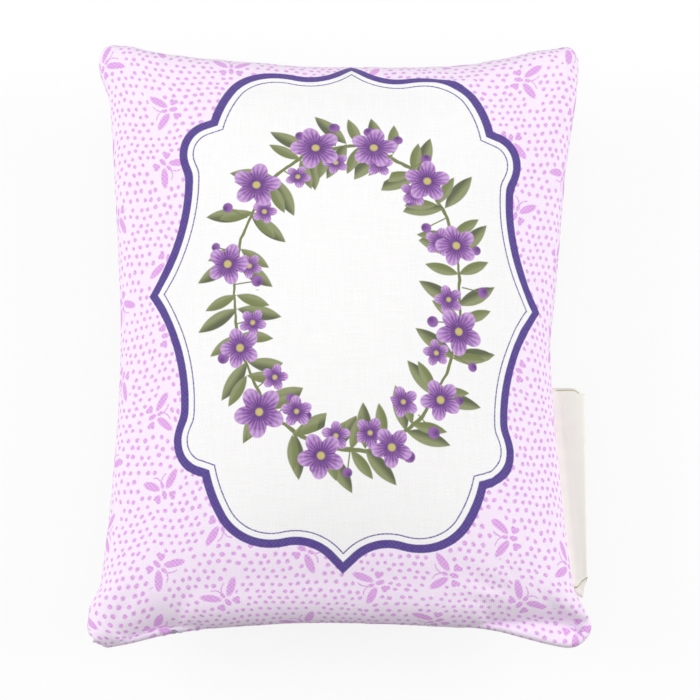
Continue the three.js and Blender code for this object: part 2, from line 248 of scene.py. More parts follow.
def waves(p, q, shortest, longest, count, seed):
    """Even random ripples, between about -1 and 1."""
    rng = np.random.default_rng(seed)
    total = np.zeros_like(p)
    for _ in range(count):
        angle, phase = rng.uniform(0.0, 2.0 * math.pi, 2)
        k = 2.0 * math.pi / rng.uniform(shortest, longest)
        total += np.sin(k * (p * math.cos(angle) + q * math.sin(angle)) + phase)
    return total / math.sqrt(count)


def filled_form(p, q, side, seed):
    """The panel over its filling, which is a little uneven. The back is pressed flat where it rests."""
    x, y = drawn_in(p, q)
    height = crown(p, q)
    rise = CROWN_RISE * height + FILLING_UNEVEN * height * waves(p, q, *FILLING_WAVES, seed)
    z = SEAM_Z + side * rise
    return np.stack([x, y, np.maximum(z, 0.0)], axis=-1)


def run_along(grid, axis):
    """Length from the first point of each row or column to each of its points."""
    steps = np.linalg.norm(np.diff(grid, axis=axis), axis=-1)
    total = np.cumsum(steps, axis=axis)
    return np.concatenate([np.zeros_like(np.take(total, [0], axis=axis)), total], axis=axis)


def even_line(flat, run, *lines):
    """Moves the points of a line along its run until they lie in proportion to the flat cut."""
    places = np.arange(len(flat))
    share = (flat - flat[0]) / (flat[-1] - flat[0])
    at = np.interp(share * run[-1], run, places)
    for line in lines:
        line[:] = np.interp(at, places, line)


def even_form(p, q, side, seed):
    """Slides the panel's points over the filled form until they lie in proportion to the flat cut."""
    flat_p, flat_q = p, q
    p, q = p.copy(), q.copy()
    for _ in range(SLIDES):
        run = run_along(filled_form(p, q, side, seed), 1)
        for row in range(len(p)):
            even_line(flat_p[row], run[row], p[row], q[row])
        run = run_along(filled_form(p, q, side, seed), 0)
        for column in range(p.shape[1]):
            even_line(flat_q[:, column], run[:, column], p[:, column], q[:, column])
    return filled_form(p, q, side, seed)


# The cloth


def grid_quads(ids):
    return np.stack([ids[:-1, :-1], ids[:-1, 1:], ids[1:, 1:], ids[1:, :-1]], axis=-1).reshape(-1, 4)


def edge_hold(p, q):
    """How firmly each point is held to the filled form: most on the sewn edge and its flat lips."""
    side_lip, end_lip = lips(p, q)
    inside = np.minimum(HALF_X - np.abs(p) - side_lip, HALF_Y - np.abs(q) - end_lip)
    return EDGE_HOLD - HOLD_LOSS * smooth(*HOLD_FADE, inside)


def simulate_cover(flat, front, back):
    """Sews two flat panels along their edges, swells the filling in them and lets the cloth settle on it.

    Returns how far each point of the front and of the back moves from the filled form.
    """
    rows, columns = front.shape[:2]
    count = rows * columns
    front_ids = np.arange(count).reshape(rows, columns)
    back_ids = front_ids.copy()
    inner = (rows - 2) * (columns - 2)
    back_ids[1:-1, 1:-1] = np.arange(count, count + inner).reshape(rows - 2, columns - 2)
    scale = MM * SIM_SCALE
    filled = np.concatenate([front.reshape(-1, 3), back[1:-1, 1:-1].reshape(-1, 3)]) * scale
    cut = np.full_like(filled, SEAM_Z * scale)
    cut[:count, :2] = flat.reshape(-1, 2) * scale
    cut[count:, :2] = flat[1:-1, 1:-1].reshape(-1, 2) * scale
    mesh = bpy.data.meshes.new("cover_cloth")
    quads = np.concatenate([grid_quads(front_ids), grid_quads(back_ids)[:, ::-1]])
    mesh.from_pydata(cut.tolist(), [], quads.tolist())
    cover = bpy.data.objects.new("cover_cloth", mesh)
    scene.collection.objects.link(cover)
    cover.shape_key_add(name="flat_cut", from_mix=False)
    swell = cover.shape_key_add(name="filled", from_mix=False)
    swell.data.foreach_set("co", filled.astype(np.float32).ravel())
    for value, number in ((0.0, 1), (1.0, 1 + SWELL_FRAMES)):
        swell.value = value
        swell.keyframe_insert("value", frame=number)
    held = cover.vertex_groups.new(name="filling")
    hold = edge_hold(flat[..., 0], flat[..., 1])
    hold = np.concatenate([hold.ravel(), hold[1:-1, 1:-1].ravel()]).round(2)
    for weight in np.unique(hold):
        held.add(np.flatnonzero(hold == weight).tolist(), float(weight), "REPLACE")
    cloth = cover.modifiers.new("cloth", "CLOTH")
    settings = cloth.settings
    settings.quality = 6
    settings.mass = 0.15
    settings.tension_stiffness = 30.0
    settings.compression_stiffness = 30.0
    settings.shear_stiffness = 10.0
    settings.bending_stiffness = 0.4
    settings.air_damping = 3.0
    settings.vertex_group_mass = "filling"
    settings.pin_stiffness = FILLING_HOLD
    settings.effector_weights.gravity = 0.0
    cloth.collision_settings.use_collision = False
    cloth.point_cache.frame_start = 1
    cloth.point_cache.frame_end = SIM_FRAMES
    for number in range(1, SIM_FRAMES + 1):
        scene.frame_set(number)
    settled = np.empty(len(filled) * 3, np.float32)
    evaluated = cover.evaluated_get(bpy.context.evaluated_depsgraph_get())
    evaluated.data.vertices.foreach_get("co", settled)
    move = (settled.reshape(-1, 3) - filled) / scale
    bpy.data.objects.remove(cover)
    bpy.data.meshes.remove(mesh)
    scene.frame_set(1)
    far = np.linalg.norm(move, axis=1, keepdims=True)
    points = filled / scale + move * np.minimum(1.0, MOST_MOVE / np.maximum(far, 1e-9))
    points[:, 2] = np.maximum(points[:, 2], 0.0)
    print("cloth settled by", np.percentile(far, [50, 90, 100]).round(2), "mm")
    return points[front_ids] - front, points[back_ids] - back


def finer_places(count):
    """Fractional grid places of the finished mesh: close together at the folded edge, even inside it."""
    edge = [0.0, 0.05, 0.12, 0.22, 0.36, 0.55, 0.8, 1.1, 1.5]
    inside = list(np.arange(2.0, count - 3.0 + 1e-6, 0.5))
    return np.array(edge + inside + [count - 1 - x for x in reversed(edge)])


def cubic_rows(count, at):
    """Weights that read a smooth line through a row of points at fractional places."""
    rows = np.zeros((len(at), count))
    for row, x in zip(rows, at):
        i = min(int(x), count - 2)
        f = x - i
        weights = (
            (-f + 2 * f * f - f**3) / 2,
            (2 - 5 * f * f + 3 * f**3) / 2,
            (f + 4 * f * f - 3 * f**3) / 2,
            (-f * f + f**3) / 2,
        )
        for k, weight in zip(range(i - 1, i + 3), weights):
            if k < 0:
                row[0] += 2 * weight
                row[1] -= weight
            elif k >= count:
                row[-1] += 2 * weight
                row[-2] -= weight
            else:
                row[k] += weight
    return rows


def finer(grid):
    up = cubic_rows(grid.shape[0], finer_places(grid.shape[0]))
    across = cubic_rows(grid.shape[1], finer_places(grid.shape[1]))
    return np.einsum("ai,ijk,bj->abk", up, grid, across)


def grid_normals(grid):
    normal = np.cross(np.gradient(grid, axis=1), np.gradient(grid, axis=0))
    return normal / np.maximum(np.linalg.norm(normal, axis=-1, keepdims=True), 1e-12)


def sewn_edge(grid, flat, side):
    """Thickens the edge over its turned-in seam allowance and puckers it along the stitching."""
    p, q = flat[..., 0], flat[..., 1]
    d = seam_distance(p, q)
    # The rim lies on the seam, though its points at the corners fall a little inside the round
    d[[0, -1], :] = 0.0
    d[:, [0, -1]] = 0.0
    fold = np.sqrt(np.clip(1.0 - (1.0 - np.clip(d / EDGE_ROUND, 0.0, 1.0)) ** 2, 0.0, 1.0))
    side_lip, end_lip = lips(p, q)
    nearer_end = HALF_X - np.abs(p) - HALF_Y + np.abs(q)
    lip = side_lip + (end_lip - side_lip) * smooth(-CORNER_BLEND, CORNER_BLEND, nearer_end)
    flat_share = smooth(*LIP_SEEN, lip)
    lip_start = np.maximum(LIP_THICK[0], LIP_THICK[1] * lip)
    fade_start = PLAIN_FADE[0] + (lip_start - PLAIN_FADE[0]) * flat_share
    fade_end = PLAIN_FADE[1] + (lip + LIP_CREASE - PLAIN_FADE[1]) * flat_share
    thick = (SEAM_GAP / 2 + (EDGE_HEIGHT - SEAM_GAP / 2) * fold) * (1.0 - smooth(fade_start, fade_end, d))
    at_side = np.exp(-(HALF_X - np.abs(p)) / PUCKER_REACH) * waves(0 * p, q, *PUCKER_WAVES, SIDE_PUCKER_SEED)
    at_end = np.exp(-(HALF_Y - np.abs(q)) / PUCKER_REACH) * waves(p, 0 * q, *PUCKER_WAVES, END_PUCKER_SEED)
    pucker = PUCKER * (at_side + at_end) * smooth(*PUCKER_START, d)
    out = grid.copy()
    out[..., 2] += side * thick
    out += grid_normals(out) * side * pucker[..., None]
    out[..., 2] = np.maximum(out[..., 2], 0.0)
    return out


def linked(name, mesh):
    piece = bpy.data.objects.new(name, mesh)
    scene.collection.objects.link(piece)
    return piece


def sheet_mesh(name, outer, inner, flat, bake_size):
    """A closed sheet between two grids of points, with a flat map in millimetres and one for baking."""
    rows, columns = outer.shape[:2]
    count = rows * columns
    ids = np.arange(count).reshape(rows, columns)
    face = grid_quads(ids)
    rim = np.concatenate([ids[0, :], ids[1:, -1], ids[-1, -2::-1], ids[-2:0:-1, 0]])
    after = np.roll(rim, -1)
    band = np.stack([rim, rim + count, after + count, after], axis=-1)
    quads = np.concatenate([face, face[:, ::-1] + count, band])
    mesh = bpy.data.meshes.new(name)
    points = np.concatenate([outer.reshape(-1, 3), inner.reshape(-1, 3)]) * MM
    mesh.from_pydata(points.tolist(), [], quads.tolist())
    corner = quads.ravel()
    cut = np.concatenate([flat.reshape(-1, 2)] * 2)
    panel_map = mesh.uv_layers.new(name="panel")
    panel_map.data.foreach_set("uv", cut[corner].astype(np.float32).ravel())
    share = (cut - cut.min(axis=0)) / bake_size
    kind = np.repeat(np.repeat([0, 1, 2], [len(face), len(face), len(band)]), 4)[:, None]
    small = share[corner] * 0.2
    edge = small + np.where(corner < count, 0.005, 0.0)[:, None]
    # The outer face takes most of the bake, with the inner face and the rim small beside it
    islands = [0.01 + share[corner] * 0.97, [0.79, 0.01] + small, [0.79, 0.3] + edge]
    bake_map = mesh.uv_layers.new(name="OFBake")
    bake_map.data.foreach_set("uv", np.choose(kind, islands).astype(np.float32).ravel())
    mesh.uv_layers.active = panel_map
    mesh.shade_smooth()
    return mesh


cut = np.stack(flat_grid(), axis=-1)
flat = finer(cut)
front = even_form(flat[..., 0], flat[..., 1], 1.0, FRONT_SEED)
back = even_form(flat[..., 0], flat[..., 1], -1.0, BACK_SEED)
coarse_front = even_form(cut[..., 0], cut[..., 1], 1.0, FRONT_SEED)
coarse_back = even_form(cut[..., 0], cut[..., 1], -1.0, BACK_SEED)
front_move, back_move = simulate_cover(cut, coarse_front, coarse_back)
front = front + finer(front_move)
back = back + finer(back_move)
front = sewn_edge(front, flat, 1.0)
back = sewn_edge(back, flat, -1.0)
front_inner = front - grid_normals(front) * COTTON
back_inner = back + grid_normals(back) * COTTON
front_cover = linked("front_cover", sheet_mesh("front_cover", front, front_inner, flat, SEAM_LENGTH))
# The back is seen from behind, so its columns run the other way
back_cover = linked(
    "back_cover",
    sheet_mesh("back_cover", back[:, ::-1], back_inner[:, ::-1], flat, SEAM_LENGTH),
)
for piece, node, slot in (
    (front_cover, "front_panel", "printed_cotton"),
    (back_cover, "back_panel", "back_cotton"),
):
    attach(piece, "pillow")
    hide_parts(node)


# The tag


def hinge_x(y):
    return np.interp(y, (HINGE_BOTTOM[1], HINGE_TOP[1]), (HINGE_BOTTOM[0], HINGE_TOP[0]))


def tag_sheet():
    """The folded tape as a grid of points, from its front end round the fold to its back end."""
    middle = TAG_LEAF_GAP / 2 + TAPE / 2
    root = np.linspace(-TAG_ROOT_DEPTH + 0.8, -0.7, 6)
    bend = np.linspace(-0.6, 0.8, 11)
    leaf = np.linspace(0.12, 1.0, 9)
    fold = np.radians(np.linspace(75.0, 15.0, 5))
    rows = []
    for t in np.linspace(0.0, 1.0, TAG_ROWS):
        y = TAG_BOTTOM + t * (TAG_TOP - TAG_BOTTOM)
        reach = TAG_BOTTOM_REACH + t * (TAG_TOP_REACH - TAG_BOTTOM_REACH)
        end = reach - middle
        x = np.concatenate([root, bend, 0.8 + (end - 0.8) * leaf])
        z = TAPE / 2 + 0.02 + (middle - TAPE / 2 - 0.02) * smooth(-0.5, 1.0, x)
        x = np.concatenate([x, end + middle * np.cos(fold)])
        z = np.concatenate([z, middle * np.sin(fold)])
        all_x = np.concatenate([x, [reach], x[::-1]])
        all_z = np.concatenate([z, [0.0], -z[::-1]])
        out = np.clip(all_x / reach, 0.0, 1.0)
        front_end = TAG_FRONT_SLANT * out
        from_fold = np.minimum(1.0, 2.0 * (1.0 - out))
        back_end = TAG_FRONT_SLANT - (TAG_FRONT_SLANT + TAG_BACK_DROP) * from_fold
        side = np.clip(0.5 + all_z / (2 * middle), 0.0, 1.0)
        lower = (back_end + (front_end - back_end) * side) * (1.0 - t) ** 2
        upper = -(TAG_TOP_DROP + TAG_CORNER_DROP * smooth(0.55, 1.0, out)) * t**3
        curl = TAG_CURL * out**2 * math.sin(2.2 * t + 0.6)
        rows.append(np.stack([hinge_x(y) + all_x, y + lower + upper, SEAM_Z + all_z + curl], axis=-1))
    return np.array(rows)


tape = tag_sheet()
tape_normal = grid_normals(tape)
tape_run = run_along(tape[[TAG_ROWS // 2]], 1)[0]
tape_flat = np.stack(np.meshgrid(tape_run, np.linspace(TAG_BOTTOM, TAG_TOP, len(tape))), axis=-1)
tape_outer = tape + tape_normal * TAPE / 2
tape_inner = tape - tape_normal * TAPE / 2
tag = linked("tag_tape", sheet_mesh("tag_tape", tape_outer, tape_inner, tape_flat, TAG_TOP - TAG_BOTTOM))
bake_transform(tag)
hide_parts("tag_loop", "tag_root")


# Threads


def tube_mesh(name, lines, radius, closed=False):
    """Round threads along lines of points, in one mesh."""
    sides = 6
    points, quads = [], []
    for line in lines:
        line = np.asarray(line, float)
        if closed:
            ahead = np.roll(line, -1, axis=0) - np.roll(line, 1, axis=0)
        else:
            ahead = np.gradient(line, axis=0)
        ahead /= np.linalg.norm(ahead, axis=1, keepdims=True)
        side = np.cross(ahead, [0.31, 0.22, 0.92])
        side /= np.linalg.norm(side, axis=1, keepdims=True)
        up = np.cross(side, ahead)
        first = len(points)
        for k in range(sides):
            turn = 2.0 * math.pi * k / sides
            points.extend(line + radius * (math.cos(turn) * side + math.sin(turn) * up))
        count = len(line)
        last = count if closed else count - 1
        for k in range(sides):
            a = first + k * count
            b = first + (k + 1) % sides * count
            for i in range(last):
                j = (i + 1) % count
                quads.append((a + i, a + j, b + j, b + i))
        if not closed:
            quads.append([first + k * count for k in range(sides)])
            quads.append([first + k * count + count - 1 for k in reversed(range(sides))])
    mesh = bpy.data.meshes.new(name)
    mesh.from_pydata((np.array(points) * MM).tolist(), [], quads)
    mesh.shade_smooth()
    return mesh


def seam_loop(inset):
    """The seam's line all round the cover, set in from its edge."""
    edge = np.concatenate([front[0, :-1], front[:-1, -1], front[-1, :0:-1], front[:0:-1, 0]])[:, :2]
    kept = [edge[0]]
    for point in edge:
        if np.linalg.norm(point - kept[-1]) > 1.0:
            kept.append(point)
    edge = np.array(kept)
    ahead = np.roll(edge, -2, axis=0) - np.roll(edge, 2, axis=0)
    inward = np.stack([-ahead[:, 1], ahead[:, 0]], axis=-1)
    return edge + inset * inward / np.linalg.norm(inward, axis=1, keepdims=True)


stitch_line = seam_loop(STITCH_INSET + EDGE_ROUND)
seam_threads = []
for node, height in (("seam_needle_thread", STITCH_HEIGHT), ("seam_bobbin_thread", -STITCH_HEIGHT)):
    line = np.column_stack([stitch_line, np.full(len(stitch_line), SEAM_Z + height)])
    seam_threads.append((linked(node + "_line", tube_mesh(node, [line], THREAD / 2, closed=True)), node))


def closing_stitches():
    """Slanting hand stitches over the edge where the opening was closed, with a knot at the first one."""
    edge = front[0]
    path = ((0.0, -0.5, 1.3), (0.25, -0.12, 0.75), (0.5, 0.0, 0.0), (0.75, -0.12, -0.75), (1.0, -0.5, -1.3))
    lines = []
    for k in range(round(CLOSING_LENGTH / CLOSING_STITCH)):
        line = []
        for share, out, height in path:
            x = CLOSING_START + k * CLOSING_STITCH + CLOSING_SLANT * share
            line.append((x, np.interp(x, edge[:, 0], edge[:, 1]) - out, SEAM_Z + height))
        lines.append(line)
    knot = np.array(lines[0][0]) + [KNOT_ALONG, 0.5, 0.0]
    for k in range(3):
        turn = np.linspace(0.0, 2.0 * math.pi, 13)
        radius = KNOT / 2 - CLOSING_THREAD / 2
        ring = np.stack([np.cos(turn), np.sin(turn) * math.cos(k), np.sin(turn) * math.sin(k)], axis=-1)
        lines.append(knot + radius * ring)
    return lines, Vector(knot) * MM


closing_lines, knot_place = closing_stitches()
closing = linked("closing_stitches", tube_mesh("closing_stitches", closing_lines, CLOSING_THREAD / 2))
for piece, node in [*seam_threads, (closing, "closing_thread")]:
    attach(piece, "pillow")
    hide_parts(node)


# The filling

heights = []
for inner in (front_inner, back_inner):
    tree = KDTree(inner.shape[0] * inner.shape[1])
    for i, point in enumerate(inner.reshape(-1, 3)):
        tree.insert((point[0], point[1], 0.0), i)
    tree.balance()
    heights.append((tree, inner[..., 2].ravel()))


def pressed_in(points, room):
    """Keeps points, in millimetres, inside the settled cover."""
    out = points.copy()
    for n, (x, y, z) in enumerate(points):
        tree, height = heights[0] if z > SEAM_Z else heights[1]
        near = [abs(height[i] - SEAM_Z) for _, i, _ in tree.find_range((x, y, 0.0), PAD_SPACING)]
        most = max(0.05, min(near, default=0.0) - room)
        if abs(z - SEAM_Z) > most:
            out[n, 2] = SEAM_Z + math.copysign(most, z - SEAM_Z)
    return out


def soft_copy(node, name, cuts, depth, room, seed):
    """A finer copy of a soft solid with an uneven surface, kept inside the cover."""
    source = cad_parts[node]
    work = bmesh.new()
    work.from_mesh(source.data)
    work.transform(source.matrix_world)
    if cuts:
        bmesh.ops.subdivide_edges(work, edges=work.edges[:], cuts=cuts, use_grid_fill=True)
    work.normal_update()
    points = np.array([v.co for v in work.verts]) / MM
    normals = np.array([v.normal for v in work.verts])
    uneven = 0.5 + 0.5 * np.clip(waves(points[:, 0], points[:, 1], 4.0, 14.0, 12, seed), -1.0, 1.0)
    points = pressed_in(points - normals * depth * uneven[:, None], room)
    for v, point in zip(work.verts, points * MM):
        v.co = point
    mesh = bpy.data.meshes.new(name)
    work.to_mesh(mesh)
    work.free()
    mesh.shade_smooth()
    piece = linked(name, mesh)
    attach(piece, "pillow")
    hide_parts(node)
    return piece


# For each: cuts in its edges, depth of its unevenness, room under the cover, and seed
pads = [
    soft_copy("front_fibre_pad", "front_filling", 1, 0.8, 0.6, 41),
    soft_copy("back_fibre_pad", "back_filling", 1, 0.8, 0.6, 42),
]
pouch = [
    soft_copy("pouch_front_cloth", "pouch_front", 1, 0.05, 1.0, 43),
    soft_copy("pouch_back_cloth", "pouch_back", 1, 0.05, 1.0, 44),
]
pouch_threads = [
    soft_copy("pouch_needle_thread", "pouch_needle_line", 0, 0.0, 1.0, 45),
    soft_copy("pouch_bobbin_thread", "pouch_bobbin_line", 0, 0.0, 1.0, 46),
]


def bud_heap(count):
    """Loose dried buds, packed in the room that the heap takes in the pouch."""
    low, high = (np.array(corner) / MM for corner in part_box("lavender_buds"))
    centre, half = (low + high) / 2, (high - low) / 2
    rng = np.random.default_rng(7)
    rings = ((0.75, -0.6), (1.0, 0.0), (0.7, 0.6))
    points, faces = [], []
    while count:
        at = rng.uniform(-1.0, 1.0, 3)
        if (at[0] ** 2 + at[1] ** 2) ** 2 + abs(at[2]) ** 1.4 > 0.72:
            continue
        count -= 1
        length = rng.uniform(1.0, 1.3)
        width = rng.uniform(0.75, 1.0)
        ahead = rng.normal(size=3)
        ahead /= np.linalg.norm(ahead)
        side = np.cross(ahead, [0.4, 0.3, 0.85])
        side /= np.linalg.norm(side)
        up = np.cross(ahead, side)
        place = centre + at * half
        first = len(points)
        for radius, along in rings:
            for k in range(5):
                turn = 2.0 * math.pi * k / 5
                out = math.cos(turn) * side + math.sin(turn) * up
                points.append(place + width * radius * out + length * along * ahead)
        points.append(place - length * ahead)
        points.append(place + length * ahead)
        for k in range(5):
            a, b = first + k, first + (k + 1) % 5
            faces.extend([(a, b, b + 5, a + 5), (a + 5, b + 5, b + 10, a + 10)])
            faces.extend([(b, a, first + 15), (a + 10, b + 10, first + 16)])
    mesh = bpy.data.meshes.new("bud_heap")
    mesh.from_pydata((np.clip(points, low, high) * MM).tolist(), [], faces)
    mesh.shade_smooth()
    return linked("bud_heap", mesh)


BUDS = 450
buds = bud_heap(BUDS)
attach(buds, "pillow")
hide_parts("lavender_buds")


# Numbers on a surface, worked out by shader nodes


class Field:
    """A number that varies over a surface, written as plain arithmetic."""

    def __init__(self, tree, socket):
        self.tree = tree
        self.socket = socket

    def __add__(self, other):
        return calc("ADD", self, other)

    def __sub__(self, other):
        return calc("SUBTRACT", self, other)

    def __rsub__(self, other):
        return calc("SUBTRACT", other, self)

    def __mul__(self, other):
        return calc("MULTIPLY", self, other)

    def __truediv__(self, other):
        return calc("DIVIDE", self, other)

    def __neg__(self):
        return calc("MULTIPLY", self, -1.0)

    def __abs__(self):
        return calc("ABSOLUTE", self)

    __radd__ = __add__
    __rmul__ = __mul__


def wire(tree, socket, value):
    if isinstance(value, Field):
        tree.links.new(value.socket, socket)
    elif isinstance(value, bpy.types.NodeSocket):
        tree.links.new(value, socket)
    elif isinstance(value, tuple):
        socket.default_value = (*value, 1.0)
    else:
        socket.default_value = value


def calc(operation, *values, clamp=False):
    tree = next(value.tree for value in values if isinstance(value, Field))
    node = tree.nodes.new("ShaderNodeMath")
    node.operation = operation
    node.use_clamp = clamp
    for socket, value in zip(node.inputs, values):
        wire(tree, socket, value)
    return Field(tree, node.outputs[0])


def low(*values):
    return functools.reduce(lambda a, b: calc("MINIMUM", a, b), values)


def high(*values):
    return functools.reduce(lambda a, b: calc("MAXIMUM", a, b), values)


def length(x, y):
    return calc("SQRT", x * x + y * y)


def covered(distance, edge=0.15):
    """1 inside an outline and 0 outside it, from the distance to it."""
    return calc("MULTIPLY_ADD", distance, -1.0 / edge, 0.5, clamp=True)


def at_point(x, y, z=0.0):
    tree = x.tree
    node = tree.nodes.new("ShaderNodeCombineXYZ")
    for socket, value in zip(node.inputs, (x, y, z)):
        wire(tree, socket, value)
    return node.outputs[0]


def parts(tree, socket):
    node = tree.nodes.new("ShaderNodeSeparateXYZ")
    tree.links.new(socket, node.inputs[0])
    return [Field(tree, output) for output in node.outputs]


def noise(x, y, seed=0.0, detail=2.0):
    """Soft random unevenness, 0 to 1, that changes over about one unit."""
    tree = x.tree
    node = tree.nodes.new("ShaderNodeTexNoise")
    node.inputs["Scale"].default_value = 1.0
    node.inputs["Detail"].default_value = detail
    tree.links.new(at_point(x, y, seed), node.inputs["Vector"])
    return Field(tree, node.outputs[0])


def chance(x, y, seed):
    """Three random numbers, 0 to 1, for whole numbers x and y."""
    tree = x.tree
    node = tree.nodes.new("ShaderNodeTexWhiteNoise")
    tree.links.new(at_point(x, y, seed), node.inputs["Vector"])
    return parts(tree, node.outputs["Color"])


def turned(x, y, angle):
    """Coordinates in axes turned by an angle in radians."""
    if isinstance(angle, Field):
        c, s = calc("COSINE", angle), calc("SINE", angle)
    else:
        c, s = math.cos(angle), math.sin(angle)
    return x * c + y * s, y * c - x * s


def oval(x, y, centre, half, degrees=0.0):
    """About the distance from an oval."""
    u, v = turned(x - centre[0], y - centre[1], math.radians(degrees))
    return (length(u / half[0], v / half[1]) - 1.0) * min(half)


def stroke(x, y, start, end, half):
    """Distance from a straight stroke with round ends."""
    run = (end[0] - start[0], end[1] - start[1])
    squared = run[0] ** 2 + run[1] ** 2
    u, v = x - start[0], y - start[1]
    share = calc("MULTIPLY_ADD", u, run[0] / squared, v * (run[1] / squared), clamp=True)
    return length(u - share * run[0], v - share * run[1]) - half


def mixed(tree, share, base, colour, blend):
    node = tree.nodes.new("ShaderNodeMix")
    node.data_type = "RGBA"
    node.blend_type = blend
    for index, value in ((0, share), (6, base), (7, colour)):
        wire(tree, node.inputs[index], value)
    return node.outputs[2]


def paint(base, colour, cover):
    """Lays a colour over another where cover is 1."""
    return mixed(cover.tree, cover, base, colour, "MIX")


def shaded(colour, share):
    """A colour times a number."""
    return mixed(share.tree, 1.0, colour, share, "MULTIPLY")


# Inks and cloths


def ink(red, green, blue):
    """A colour given as it shows on a screen, 0 to 255."""
    shares = [c / 255 for c in (red, green, blue)]
    return tuple(c / 12.92 if c <= 0.04045 else ((c + 0.055) / 1.055) ** 2.4 for c in shares)


WHITE = ink(250, 249, 249)
GROUND = ink(251, 236, 254)
DOT_INK = ink(224, 158, 231)
BAND_INK = ink(81, 61, 142)
LINE_INK = ink(102, 82, 154)
BLOSSOM_DEEP = ink(104, 66, 132)
BLOSSOM_MID = ink(152, 104, 174)
BLOSSOM_PALE = ink(207, 168, 220)
LEAF_DARK = ink(98, 104, 78)
LEAF_MID = ink(146, 152, 112)
STEM_INK = ink(122, 130, 84)
EYE_INK = ink(206, 190, 120)


def material(name, colour, roughness, sheen=0.0):
    made = bpy.data.materials.new(name)
    made.use_nodes = True
    shader = made.node_tree.nodes["Principled BSDF"]
    shader.inputs["Base Color"].default_value = (*colour, 1.0)
    shader.inputs["Roughness"].default_value = roughness
    shader.inputs["Specular IOR Level"].default_value = 0.25
    shader.inputs["Sheen Weight"].default_value = sheen
    shader.inputs["Sheen Roughness"].default_value = 0.6
    return made


def clothed(made, colour, height, strength, depth):
    """Gives a material its colour, and bumps of a depth in millimetres."""
    tree = made.node_tree
    shader = tree.nodes["Principled BSDF"]
    tree.links.new(colour, shader.inputs["Base Color"])
    bump = tree.nodes.new("ShaderNodeBump")
    bump.inputs["Strength"].default_value = strength
    bump.inputs["Distance"].default_value = depth * MM
    wire(tree, bump.inputs["Height"], height)
    tree.links.new(bump.outputs[0], shader.inputs["Normal"])
    return made


def panel_place(tree):
    """Flat coordinates of the piece's cut, in millimetres."""
    node = tree.nodes.new("ShaderNodeUVMap")
    node.uv_map = "panel"
    return parts(tree, node.outputs[0])[:2]


def weave(x, y, pitch):
    """Height of a plain weave, where its warp lies on top, and the lightness of its threads, all 0 to 1."""
    a = x / pitch + (noise(x / 6.0, y / 6.0, 3.0) - 0.5) * 1.6
    b = y / pitch + (noise(x / 6.0, y / 6.0, 9.0) - 0.5) * 1.6
    warp, weft = calc("FLOOR", a), calc("FLOOR", b)
    over = calc("FRACT", (warp + weft) / 2.0) * 2.0
    across = (a - warp) * 2.0 - 1.0
    along = (b - weft) * 2.0 - 1.0
    warp_round = 1.0 - across * across
    weft_round = 1.0 - along * along
    warp_top = warp_round * (weft_round * 0.5 + 0.5)
    weft_top = weft_round * (warp_round * 0.5 + 0.5)
    height = over * warp_top + (1.0 - over) * weft_top
    warp_tone = noise(warp, y / 9.0, 21.0, 0.0)
    weft_tone = noise(x / 9.0, weft, 31.0, 0.0)
    return height, over, over * warp_tone + (1.0 - over) * weft_tone


def sprig(x, y):
    """Distance from one small sprig: two long petals, two short ones, a stem, a bud and two tendrils."""
    side = abs(x)
    long_petal = oval(side, y, (2.85, 1.85), (2.65, 0.98), 45.0)
    short_petal = low(
        stroke(side, y, (1.75, -1.7), (2.5, -1.75), 0.6),
        stroke(side, y, (1.75, -1.7), (2.05, -2.7), 0.6),
    )
    stem = oval(x, y, (0.0, -1.5), (0.65, 1.15))
    bud = oval(x, y, (0.0, 0.9), (0.5, 0.85))
    tendril = high(abs(length(side - 2.6, y - 1.1) - 2.6) - 0.16, side - 1.9, 1.5 - y)
    return low(long_petal, short_petal, stem, bud, tendril)


def sprigs(x, y):
    """Distance from the nearest of the sprigs scattered on the ground."""
    column = calc("FLOOR", x / SPRIG_STEP[0])
    lifted = y / SPRIG_STEP[1] + calc("FRACT", column / 2.0)
    row = calc("FLOOR", lifted)
    aside, above, turn = chance(column, row, 5.0)
    u = (x / SPRIG_STEP[0] - column - 0.5) * SPRIG_STEP[0] + (aside - 0.5) * 5.0
    v = (lifted - row - 0.5) * SPRIG_STEP[1] + (above - 0.5) * 7.0
    u, v = turned(u / SPRIG_SIZE, v / SPRIG_SIZE, turn * (2.0 * math.pi))
    return sprig(u, v) * SPRIG_SIZE


def dot_grid(x, y):
    """Distance from the nearest dot, its place and its size. The dots stand on wandering rows."""
    across = x + (noise(x / 16.0, y / 16.0, 11.0, 0.0) - 0.5) * 3.4
    up = y + (noise(x / 16.0, y / 16.0, 17.0, 0.0) - 0.5) * 3.4
    v = up / DOT_STEP[1]
    row = calc("FLOOR", v)
    u = across / DOT_STEP[0] + calc("FRACT", row * 0.5)
    column = calc("FLOOR", u)
    aside, above, size = chance(column, row, 8.0)
    aside = (u - column - 0.5 + (aside - 0.5) * DOT_STRAY) * DOT_STEP[0]
    above = (v - row - 0.5 + (above - 0.5) * DOT_STRAY) * DOT_STEP[1]
    return length(aside, above), (x - aside, y - above), size


def ground(x, y):
    """Cover of the ground's print: sprigs, and irregular dots that keep clear of them."""
    away, place, size = dot_grid(x, y)
    clear = calc("GREATER_THAN", sprigs(*place), 0.85)
    wobble = (noise(x * 1.6, y * 1.6, 14.0) - 0.5) * 0.25
    dots = covered(away + wobble - (size * 0.2 + 0.9) * DOT_RADIUS, 0.3) * clear
    return high(dots, covered(sprigs(x, y) + wobble * 0.5, 0.25))


def disc(x, y, arc):
    return length(x - arc[0], y - arc[1]) - arc[2]


def chosen(first, second, share):
    """The first number where share is 0 and the second where it is 1."""
    return first + (second - first) * share


